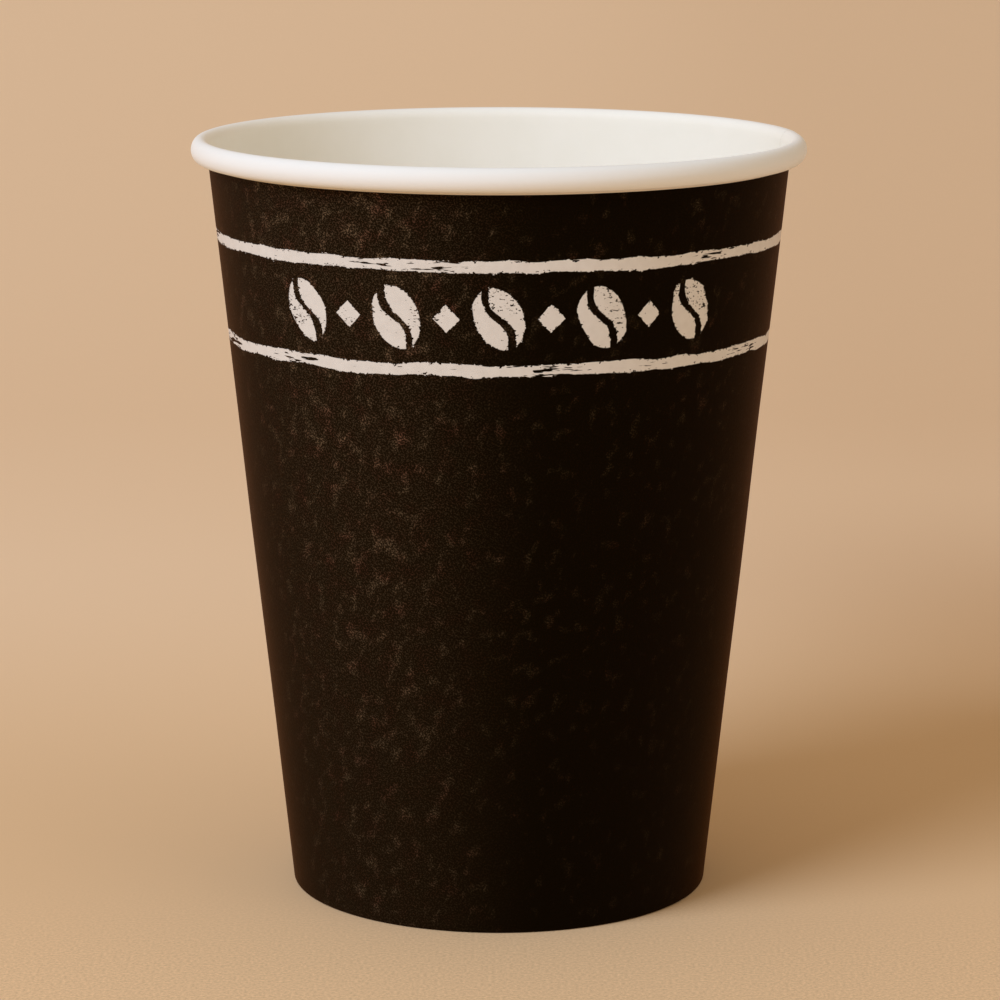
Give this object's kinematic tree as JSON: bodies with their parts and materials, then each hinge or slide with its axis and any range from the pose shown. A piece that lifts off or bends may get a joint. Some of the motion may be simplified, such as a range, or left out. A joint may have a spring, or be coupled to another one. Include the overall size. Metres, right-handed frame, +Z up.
{
  "type": "paper coffee cup",
  "caption": "Tapered single-wall paper cup for hot drinks with a rolled rim, a lapped side seam and a recessed base locked in a folded foot.",
  "frame": {"origin": "centre of the foot, on the table", "axes": "+Z up along the cup's axis, -Y towards the front of the print, +X to the right of the front"},
  "size_m": [0.09, 0.09, 0.112],
  "materials": {
    "printed_board": "matte dark print outside, white coated board inside and on the rim",
    "coated_board": "white coated board, satin"
  },
  "bodies": {
    "root": {"sidewall": "printed_board", "base_disc": "coated_board"}
  },
  "joints": []
}
